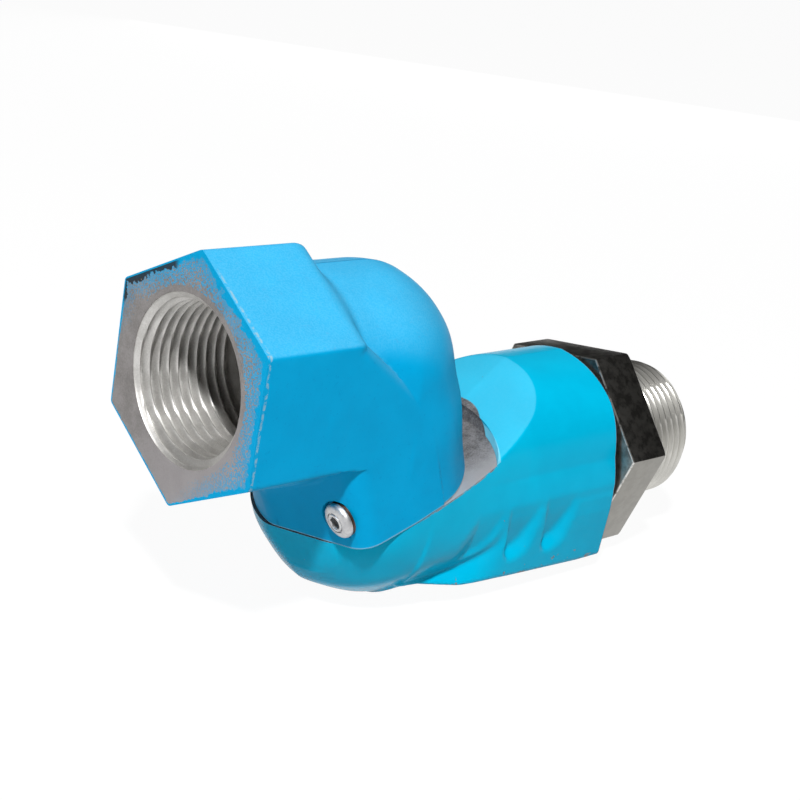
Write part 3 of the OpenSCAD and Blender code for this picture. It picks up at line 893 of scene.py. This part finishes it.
def blue_paint():
    n = Nodes("blue_powder_coat")
    x, d, j = joint_coordinates(n)
    up = n.add(n.z, -AXIS_H * MM)
    back = n.sub(x, INLET_X * MM)
    reach = n.hexagon_reach(n.y, up, HEX_TURN)
    inward = n.sub(HEX_FLAT * MM, reach)
    fine = n.noise(3200, 2, 0.6)
    face = n.step(back, 0.00012, 0.00004)
    bare_face = n.mul(face, n.sub(1.0, inlet_overspray(n, up, inward)))
    edge = n.mul(n.step(back, 0.0007, 0.0001), n.step(n.noise(420, 4, 0.6), 0.6, 0.68), n.sub(1.0, face))
    bare = n.largest(bare_face, edge, blue_bare_places(n, x, d, j, up))
    metal = n.mix(face, bare_aluminium(n, (0.66, 0.65, 0.63), (0.52, 0.51, 0.49)),
                  bare_aluminium(n, (0.30, 0.285, 0.28), (0.215, 0.203, 0.197)))
    lower_right = n.step(n.sub(n.mul(n.y, -0.6), up), 0.0, 0.022)
    metal = n.mix(n.mul(face, lower_right, 0.6), metal, (0.36, 0.34, 0.35))
    color = n.mix(bare, blue_coat(n, x, j), metal)
    # a worn dashed line just behind the face, on the near facet
    wander = n.mul(n.sub(n.noise(150, 3, 0.6), 0.5), 0.0012)
    off_line = n.size(n.add(back, wander, -0.0007))
    worn = n.mul(n.step(off_line, 0.0004, 0.0001), n.step(reach, 0.0214, 0.0216))
    worn = n.mul(worn, n.step(n.y, -0.004, -0.009), n.step(n.noise(900, 5, 0.75), 0.46, 0.54))
    color = n.mix(n.mul(worn, 0.6), color, (0.30, 0.40, 0.42))
    # a near-black strip along the face's upper left edge
    frayed = n.add(inward, n.mul(n.sub(n.noise(420, 4, 0.7), 0.5), 0.006))
    dark_strip = n.mul(n.step(frayed, 0.0014, 0.0011), face, n.step(n.y, 0.0045, 0.0065))
    dark_strip = n.mul(dark_strip, n.step(up, 0.0085, 0.0105), n.step(inward, 0.00025, 0.0004))
    color = n.mix(n.mul(dark_strip, 0.92), color, (0.018, 0.016, 0.014))
    coat_rough = n.add(0.36, n.mul(n.noise(500, 3, 0.6), 0.12))
    rough = n.blend(bare, coat_rough, n.add(0.42, n.mul(fine, 0.2)))
    coated = n.sub(1.0, bare)
    height = n.add(n.mul(n.noise(620, 2, 0.45), coated), n.mul(fine, 0.18), n.mul(coated, 0.6))
    return n.set(Base_Color=color, Metallic=n.mul(bare, n.blend(face, 0.95, 0.6)), Roughness=rough,
                 Normal=n.bump(height, 0.00006, 0.55), Specular_IOR_Level=0.045)


def cyan_bare_places(n, x, d, j, spot):
    """The body's spot-face, its rim, the bores, the end face, chips at the skirt's edge and flecks."""
    radius = n.length(n.y, d)
    outlet_r = n.length(n.y, n.z)
    face_h, end_x = JOINT_H * MM, BODY_END * MM
    rim = n.step(j, face_h - 0.00045, face_h - 0.0003)
    rim = n.mul(rim, n.step(j, face_h + 0.00003, face_h + 0.00002))
    rim = n.mul(rim, n.step(n.noise(260, 4, 0.65), 0.4, 0.55))
    rim = n.mul(rim, n.step(radius, 0.0296, 0.0294), n.step(d, -0.005, 0.003))
    recess = n.mul(n.step(radius, 0.0187, 0.0186), n.step(j, -0.0021, -0.002))
    from_knee = n.length(n.y, d, n.add(j, 0.0065))
    chamber = n.step(from_knee, 0.0130, 0.0128)
    race = n.mul(n.step(outlet_r, 0.0190, 0.0189), n.step(x, end_x - 0.019, end_x - 0.0189))
    passage = n.mul(n.step(outlet_r, 0.0155, 0.0153), n.step(x, 0.004, 0.005))
    end = n.step(x, end_x - 0.00016, end_x - 0.00008)
    chips = n.mul(n.step(n.noise(330, 4, 0.7), 0.60, 0.64), n.step(n.z, -0.0166, -0.0172))
    chips = n.mul(chips, n.step(x, -0.004, 0.001))
    flecks = n.step(n.noise(520, 2, 0.5), 0.775, 0.79)
    return n.largest(spot, rim, recess, chamber, race, passage, end, chips, n.mul(flecks, 0.7))


def cyan_paint():
    n = Nodes("cyan_gloss_paint")
    x, d, j = joint_coordinates(n)
    radius = n.length(n.y, d)
    fine = n.noise(2600, 2, 0.6)
    blotch = n.noise(70, 3, 0.55)
    paint = n.mix(n.step(blotch, 0.3, 0.7), (0.0, 0.35, 0.55), (0.0, 0.385, 0.595))
    off_face = n.size(n.sub(j, JOINT_H * MM))
    spot = n.mul(n.step(radius, 0.02932, 0.02928), n.step(off_face, 0.00004, 0.00002))
    # painted light: the relief that faces up and back towards the key is lighter, and a painted highlight
    # lightens the lip round the spot-face
    up = n.mul(n.step(n.normal_z, 0.45, 0.85), n.step(n.normal_x, -0.10, -0.22))
    lit_relief_share = n.add(0.055, n.mul(n.noise(1500, 2, 0.6), 0.05))
    paint = n.mix(n.mul(up, lit_relief_share), paint, (0.42, 0.74, 0.80))
    # painted highlight: the fillet at the foot of the shoulder wall is tinted pale where the wall would catch
    # the light
    lip = n.mul(n.step(radius, 0.0291, 0.0293), n.step(radius, 0.0303, 0.0301))
    lip = n.mul(lip, n.step(j, 0.0034, 0.0031), n.step(j, 0.00156, 0.0016))
    paint = n.mix(n.mul(lip, 0.4), paint, (0.35, 0.72, 0.82))
    bare = cyan_bare_places(n, x, d, j, spot)
    # painted light: the spot-face's bare metal is lighter on its near side, away from the elbow's shadow
    bright = n.mul(n.step(n.y, -0.012, -0.021), 0.8)
    metal = bare_aluminium(n, (0.30, 0.30, 0.31), (0.10, 0.10, 0.105))
    metal = n.mix(n.mul(bright, spot), metal, (0.50, 0.50, 0.52))
    coat_rough = n.add(0.2, n.mul(n.noise(300, 3, 0.6), 0.08))
    rough = n.blend(bare, coat_rough, n.add(0.32, n.mul(fine, 0.2)))
    coated = n.sub(1.0, bare)
    height = n.add(n.mul(n.noise(420, 2, 0.4), coated), n.mul(fine, 0.08), n.mul(coated, 0.6))
    return n.set(Base_Color=n.mix(bare, paint, metal), Metallic=n.mul(bare, 0.5), Roughness=rough,
                 Normal=n.bump(height, 0.00006, 0.45), Specular_IOR_Level=0.06)


def plated_steel():
    """Bright on the thread, dark and mottled on the hexagon, with a painted reflection that lightens its
    downward flats and a bright edge round its inner end, partly wear and partly painted highlight.
    """
    n = Nodes("plated_steel")
    mottle = n.noise(900, 4, 0.7)
    grain = n.noise(3200, 3, 0.7)
    cloud = n.noise(120, 3, 0.5)
    spots = n.noise(430, 6, 0.62)
    flats = n.step(n.length(n.y, n.z), 0.0180, 0.0186)
    color = n.mix(n.step(cloud, 0.3, 0.7), (0.57, 0.56, 0.525), (0.66, 0.65, 0.61))
    dark = n.mul(flats, n.add(0.66, n.mul(n.step(spots, 0.40, 0.62), 0.31)))
    color = n.mix(dark, color, (0.12, 0.117, 0.11))
    # painted reflection: the flats that face down are lighter, as if they caught the pale floor
    lower = n.mul(flats, n.step(n.normal_z, 0.08, -0.08))
    color = n.mix(n.mul(lower, 0.8), color, (0.33, 0.32, 0.295))
    # partly worn plating and partly a painted highlight: a bright dashed line on the bevel round the
    # hexagon's inner end
    reach = n.hexagon_reach(n.y, n.z, ADAPTER_TURN)
    end = (ADAPTER_X + KNEE[0]) * MM
    edge = n.mul(n.step(reach, 0.0216, 0.0218), n.step(n.x, end + 0.0005, end + 0.00025))
    edge = n.mul(edge, n.step(n.noise(500, 3, 0.6), 0.36, 0.48))
    color = n.mix(edge, color, (0.72, 0.71, 0.68))
    rough = n.add(0.34, n.mul(mottle, flats, 0.12), n.mul(grain, 0.06), n.mul(flats, -0.08))
    height = n.add(n.mul(grain, 0.3), n.mul(mottle, flats, 0.7))
    return n.set(Base_Color=color, Metallic=1.0, Roughness=rough, Normal=n.bump(height, 0.00003, 0.4))


def clouded(name, light, dark, scale, metallic, rough, bump_distance=0.00003, spread=0.1):
    """A plain material that varies a little between two colours."""
    n = Nodes(name)
    cloud = n.noise(scale, 4, 0.6)
    fine = n.noise(scale * 8, 2, 0.6)
    height = n.add(n.mul(fine, 0.6), n.mul(cloud, 0.4))
    return n.set(Base_Color=n.mix(n.step(cloud, 0.35, 0.65), dark, light), Metallic=metallic,
                 Roughness=n.add(rough, n.mul(fine, spread)), Normal=n.bump(height, bump_distance, 0.4))


MATERIALS = {
    "plated_steel": plated_steel(),
    "bright_steel": clouded("bright_steel", (0.66, 0.66, 0.66), (0.50, 0.50, 0.51), 700, 1.0, 0.42),
    "bearing_steel": clouded("bearing_steel", (0.70, 0.70, 0.71), (0.60, 0.60, 0.62), 300, 1.0, 0.08,
                             0.00001, 0.04),
    "rubber": clouded("black_rubber", (0.022, 0.022, 0.023), (0.012, 0.012, 0.013), 400, 0.0, 0.55,
                      0.00005, 0.2),
    "ring_plastic": clouded("ring_plastic", srgb(226, 220, 200), srgb(214, 206, 184), 350, 0.0, 0.4,
                            0.00004, 0.15),
    "washer_metal": clouded("washer_copper", (0.16, 0.10, 0.07), (0.09, 0.06, 0.045), 500, 1.0, 0.4),
}


def dress(obj, material):
    obj.data.materials.clear()
    obj.data.materials.append(material)


dress(elbow, blue_paint())
dress(casting, cyan_paint())
dress(adapter, MATERIALS["plated_steel"])
for plug in plugs:
    dress(plug, MATERIALS["bright_steel"])
SLOT_OF = {p["node"]: p["material_slot"] for p in frame["record"]["subparts"]}
for node, obj in frame["nodes"].items():
    if SLOT_OF.get(node) in MATERIALS:
        dress(obj, MATERIALS[SLOT_OF[node]])


# Stage, light and camera

def stage_object(name, verts, faces):
    """A mesh object from points in metres, kept apart from the parts."""
    mesh = bpy.data.meshes.new(name)
    mesh.from_pydata(verts, [], faces)
    obj = bpy.data.objects.new(name, mesh)
    bpy.context.scene.collection.objects.link(obj)
    return obj


def emission(tree, color, strength=1.0):
    n = tree.nodes.new("ShaderNodeEmission")
    n.inputs["Color"].default_value = color
    n.inputs["Strength"].default_value = strength
    return n.outputs[0]


def empty_tree(owner, output):
    """Clears the node tree of a material or world. Returns the tree and its output's surface socket."""
    owner.use_nodes = True
    tree = owner.node_tree
    tree.nodes.clear()
    return tree, tree.nodes.new(output).inputs["Surface"]


def seen_directly(tree):
    """1 for camera, glossy and transmission rays."""
    path = tree.nodes.new("ShaderNodeLightPath")
    seen = path.outputs["Is Camera Ray"]
    for ray in ("Is Glossy Ray", "Is Transmission Ray"):
        n = tree.nodes.new("ShaderNodeMath")
        n.operation = "MAXIMUM"
        tree.links.new(seen, n.inputs[0])
        tree.links.new(path.outputs[ray], n.inputs[1])
        seen = n.outputs[0]
    return seen


def mix_shaders(tree, share, first, second, surface):
    n = tree.nodes.new("ShaderNodeMixShader")
    tree.links.new(share, n.inputs[0])
    tree.links.new(first, n.inputs[1])
    tree.links.new(second, n.inputs[2])
    tree.links.new(n.outputs[0], surface)


def make_floor():
    """White to the camera, and a plain grey that takes the shadow."""
    half, drop = 6, 0.0002
    z = float(CAD_LOW.z) - drop
    floor = stage_object("floor", [(-half, -half, z), (half, -half, z), (half, half, z), (-half, half, z)],
                         [(0, 1, 2, 3)])
    material = bpy.data.materials.new("floor_white")
    tree, surface = empty_tree(material, "ShaderNodeOutputMaterial")
    diffuse = tree.nodes.new("ShaderNodeBsdfDiffuse")
    diffuse.inputs["Color"].default_value = (0.5, 0.5, 0.5, 1)
    share = tree.nodes.new("ShaderNodeMath")
    share.operation = "MULTIPLY"
    share.inputs[1].default_value = 0.9
    tree.links.new(seen_directly(tree), share.inputs[0])
    mix_shaders(tree, share.outputs[0], diffuse.outputs[0], emission(tree, (1, 1, 1, 1), 1.06), surface)
    floor.data.materials.append(material)


def make_dark_wall():
    """A dark studio wall and ceiling that only reflections see: the bright metal shows it."""
    radius, rings, sides, lowest = 2.5, 10, 32, 2.5
    verts, faces = [(0, 0, radius)], []
    for r in range(1, rings + 1):
        rise = math.radians(90 - (90 - lowest) * r / rings)
        for k in range(sides):
            a = 2 * math.pi * k / sides
            verts.append((radius * math.cos(rise) * math.cos(a), radius * math.cos(rise) * math.sin(a),
                          radius * math.sin(rise)))
    for k in range(sides):
        n = (k + 1) % sides
        faces.append((0, 1 + k, 1 + n))
        for r in range(rings - 1):
            a, b = 1 + r * sides, 1 + (r + 1) * sides
            faces.append((a + k, b + k, b + n, a + n))
    wall = stage_object("dark_wall", verts, faces)
    material = bpy.data.materials.new("dark_wall")
    tree, surface = empty_tree(material, "ShaderNodeOutputMaterial")
    tree.links.new(emission(tree, (0.032, 0.031, 0.030, 1)), surface)
    wall.data.materials.append(material)
    wall.visible_camera = False
    wall.visible_diffuse = False
    wall.visible_shadow = False
    wall.visible_transmission = False


def make_world():
    """White where it is seen, and a weak cool light elsewhere."""
    world = bpy.data.worlds.new("studio")
    tree, surface = empty_tree(world, "ShaderNodeOutputWorld")
    skies = []
    for color, strength in (((0.93, 0.96, 1.0, 1), 0.12), ((1, 1, 1, 1), 1.0)):
        n = tree.nodes.new("ShaderNodeBackground")
        n.inputs["Color"].default_value = color
        n.inputs["Strength"].default_value = strength
        skies.append(n.outputs[0])
    mix_shaders(tree, seen_directly(tree), *skies, surface)
    return world


# The camera looks along FORWARD, turned from +X, down and rolled.
CAMERA_TURN, CAMERA_DOWN, CAMERA_ROLL = math.radians(44.528), math.radians(18.171), math.radians(7.963)
LEVEL_FORWARD = Vector((math.cos(CAMERA_TURN), math.sin(CAMERA_TURN), 0))
FORWARD = LEVEL_FORWARD * math.cos(CAMERA_DOWN) - Vector((0, 0, math.sin(CAMERA_DOWN)))
LEVEL_RIGHT = Vector((math.sin(CAMERA_TURN), -math.cos(CAMERA_TURN), 0))
LEVEL_UP = LEVEL_RIGHT.cross(FORWARD)
RIGHT = LEVEL_RIGHT * math.cos(CAMERA_ROLL) + LEVEL_UP * math.sin(CAMERA_ROLL)
UP = LEVEL_UP * math.cos(CAMERA_ROLL) - LEVEL_RIGHT * math.sin(CAMERA_ROLL)
CAMERA_AT = Vector((-0.31301, -0.23459, 0.12729))
TARGET = Vector((-0.065, 0.0, 0.010))
LIGHT_DISTANCE = 0.9


def area_light(name, direction, size, power, glossy):
    data = bpy.data.lights.new(name, "AREA")
    data.energy = power
    data.size = size
    obj = bpy.data.objects.new(name, data)
    obj.location = TARGET + direction.normalized() * LIGHT_DISTANCE
    obj.rotation_euler = (TARGET - obj.location).to_track_quat("-Z", "Y").to_euler()
    obj.visible_glossy = glossy
    bpy.context.scene.collection.objects.link(obj)


def make_camera():
    data = bpy.data.cameras.new("camera")
    data.lens = 74.59
    data.sensor_width = 36.0
    data.clip_start, data.clip_end = 0.01, 50.0
    camera = bpy.data.objects.new("camera", data)
    rows = [(RIGHT[i], UP[i], -FORWARD[i], CAMERA_AT[i]) for i in range(3)]
    camera.matrix_world = Matrix(rows + [(0, 0, 0, 1)])
    bpy.context.scene.collection.objects.link(camera)
    return camera


make_floor()
make_dark_wall()
scene = bpy.context.scene
scene.world = make_world()
area_light("key", Vector((-0.50, -0.42, 0.76)), 0.06, 12.0, True)
area_light("fill", -UP * 0.25 - RIGHT * 0.15 - FORWARD, 0.7, 1.3, False)
area_light("behind", FORWARD + UP * 0.6 + RIGHT * 0.2, 0.7, 2.4, False)
scene.camera = make_camera()
scene.view_settings.view_transform = "Standard"
